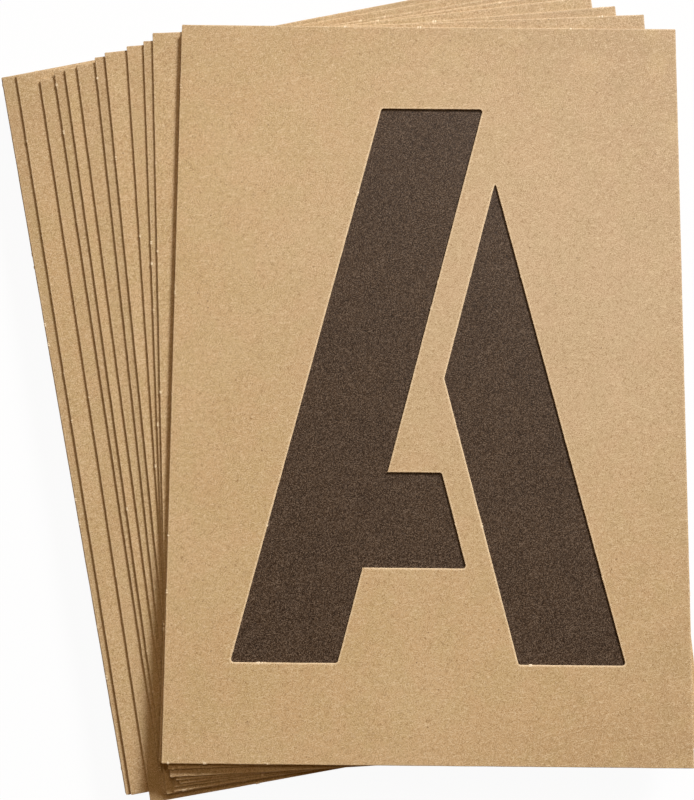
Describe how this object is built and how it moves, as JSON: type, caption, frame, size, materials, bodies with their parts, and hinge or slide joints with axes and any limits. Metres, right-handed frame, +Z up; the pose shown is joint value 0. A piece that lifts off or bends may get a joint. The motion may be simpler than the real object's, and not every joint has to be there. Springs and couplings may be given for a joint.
{
  "type": "lettering stencil",
  "caption": "Pack of kraft board lettering stencils with a cut-out capital letter in each card, fanned out from the foot, with a dark sheet under the top card",
  "frame": {"origin": "the pinch point, where a thumb holds the foot of the pack, on the table under the bottom card", "axes": "+Y up the top card towards the head of its letter, +X to the reader's right, +Z up through the pack"},
  "size_m": [0.2588, 0.3062, 0.0208],
  "materials": {
    "kraft_board": "oiled kraft board, matte, fine fibre, slightly paler at the cut edges",
    "dark_sheet": "dark brown uncoated paper"
  },
  "bodies": {
    "card_z": {"card_z": "kraft_board"},
    "backing_sheet": {"backing_sheet": "dark_sheet"},
    "card_a": {"card_a": "kraft_board"},
    "card_b": {"card_b": "kraft_board"},
    "card_c": {"card_c": "kraft_board"},
    "card_d": {"card_d": "kraft_board"},
    "card_e": {"card_e": "kraft_board"},
    "card_f": {"card_f": "kraft_board"},
    "card_g": {"card_g": "kraft_board"},
    "card_h": {"card_h": "kraft_board"},
    "card_i": {"card_i": "kraft_board"},
    "card_j": {"card_j": "kraft_board"},
    "card_k": {"card_k": "kraft_board"},
    "card_l": {"card_l": "kraft_board"},
    "card_m": {"card_m": "kraft_board"},
    "card_n": {"card_n": "kraft_board"},
    "card_o": {"card_o": "kraft_board"},
    "card_p": {"card_p": "kraft_board"},
    "card_q": {"card_q": "kraft_board"},
    "card_r": {"card_r": "kraft_board"},
    "card_s": {"card_s": "kraft_board"},
    "card_t": {"card_t": "kraft_board"},
    "card_u": {"card_u": "kraft_board"},
    "card_v": {"card_v": "kraft_board"},
    "card_w": {"card_w": "kraft_board"},
    "card_x": {"card_x": "kraft_board"},
    "card_y": {"card_y": "kraft_board"}
  },
  "joints": [
    {"name": "fan_sheet", "type": "hinge", "parent": "card_z", "child": "backing_sheet", "pos_m": [0, 0, 0], "axis": [0, 0, 1], "range_deg": [-1, 40]},
    {"name": "lift_off_a", "type": "slide", "parent": "backing_sheet", "child": "card_a", "axis": [0, 0, 1], "range_m": [0, 0.06]},
    {"name": "fan_b", "type": "hinge", "parent": "card_z", "child": "card_b", "pos_m": [0, 0, 0], "axis": [0, 0, 1], "range_deg": [-0.8, 40.2]},
    {"name": "fan_c", "type": "hinge", "parent": "card_z", "child": "card_c", "pos_m": [0, 0, 0], "axis": [0, 0, 1], "range_deg": [-3.8, 37.2]},
    {"name": "fan_d", "type": "hinge", "parent": "card_z", "child": "card_d", "pos_m": [0, 0, 0], "axis": [0, 0, 1], "range_deg": [-4.7, 36.3]},
    {"name": "fan_e", "type": "hinge", "parent": "card_z", "child": "card_e", "pos_m": [0, 0, 0], "axis": [0, 0, 1], "range_deg": [-6.5, 34.5]},
    {"name": "fan_f", "type": "hinge", "parent": "card_z", "child": "card_f", "pos_m": [0, 0, 0], "axis": [0, 0, 1], "range_deg": [-8.5, 32.5]},
    {"name": "fan_g", "type": "hinge", "parent": "card_z", "child": "card_g", "pos_m": [0, 0, 0], "axis": [0, 0, 1], "range_deg": [-9, 32]},
    {"name": "fan_h", "type": "hinge", "parent": "card_z", "child": "card_h", "pos_m": [0, 0, 0], "axis": [0, 0, 1], "range_deg": [-10.4, 30.6]},
    {"name": "fan_i", "type": "hinge", "parent": "card_z", "child": "card_i", "pos_m": [0, 0, 0], "axis": [0, 0, 1], "range_deg": [-10.8, 30.2]},
    {"name": "fan_j", "type": "hinge", "parent": "card_z", "child": "card_j", "pos_m": [0, 0, 0], "axis": [0, 0, 1], "range_deg": [-11.4, 29.6]},
    {"name": "fan_k", "type": "hinge", "parent": "card_z", "child": "card_k", "pos_m": [0, 0, 0], "axis": [0, 0, 1], "range_deg": [-11.6, 29.4]},
    {"name": "fan_l", "type": "hinge", "parent": "card_z", "child": "card_l", "pos_m": [0, 0, 0], "axis": [0, 0, 1], "range_deg": [-12.1, 28.9]},
    {"name": "fan_m", "type": "hinge", "parent": "card_z", "child": "card_m", "pos_m": [0, 0, 0], "axis": [0, 0, 1], "range_deg": [-12.9, 28.1]},
    {"name": "fan_n", "type": "hinge", "parent": "card_z", "child": "card_n", "pos_m": [0, 0, 0], "axis": [0, 0, 1], "range_deg": [-12.9, 28.1]},
    {"name": "fan_o", "type": "hinge", "parent": "card_z", "child": "card_o", "pos_m": [0, 0, 0], "axis": [0, 0, 1], "range_deg": [-12.9, 28.1]},
    {"name": "fan_p", "type": "hinge", "parent": "card_z", "child": "card_p", "pos_m": [0, 0, 0], "axis": [0, 0, 1], "range_deg": [-12.9, 28.1]},
    {"name": "fan_q", "type": "hinge", "parent": "card_z", "child": "card_q", "pos_m": [0, 0, 0], "axis": [0, 0, 1], "range_deg": [-12.9, 28.1]},
    {"name": "fan_r", "type": "hinge", "parent": "card_z", "child": "card_r", "pos_m": [0, 0, 0], "axis": [0, 0, 1], "range_deg": [-12.9, 28.1]},
    {"name": "fan_s", "type": "hinge", "parent": "card_z", "child": "card_s", "pos_m": [0, 0, 0], "axis": [0, 0, 1], "range_deg": [-12.9, 28.1]},
    {"name": "fan_t", "type": "hinge", "parent": "card_z", "child": "card_t", "pos_m": [0, 0, 0], "axis": [0, 0, 1], "range_deg": [-12.9, 28.1]},
    {"name": "fan_u", "type": "hinge", "parent": "card_z", "child": "card_u", "pos_m": [0, 0, 0], "axis": [0, 0, 1], "range_deg": [-12.9, 28.1]},
    {"name": "fan_v", "type": "hinge", "parent": "card_z", "child": "card_v", "pos_m": [0, 0, 0], "axis": [0, 0, 1], "range_deg": [-12.9, 28.1]},
    {"name": "fan_w", "type": "hinge", "parent": "card_z", "child": "card_w", "pos_m": [0, 0, 0], "axis": [0, 0, 1], "range_deg": [-12.9, 28.1]},
    {"name": "fan_x", "type": "hinge", "parent": "card_z", "child": "card_x", "pos_m": [0, 0, 0], "axis": [0, 0, 1], "range_deg": [-12.9, 28.1]},
    {"name": "fan_y", "type": "hinge", "parent": "card_z", "child": "card_y", "pos_m": [0, 0, 0], "axis": [0, 0, 1], "range_deg": [-12.9, 28.1]}
  ]
}
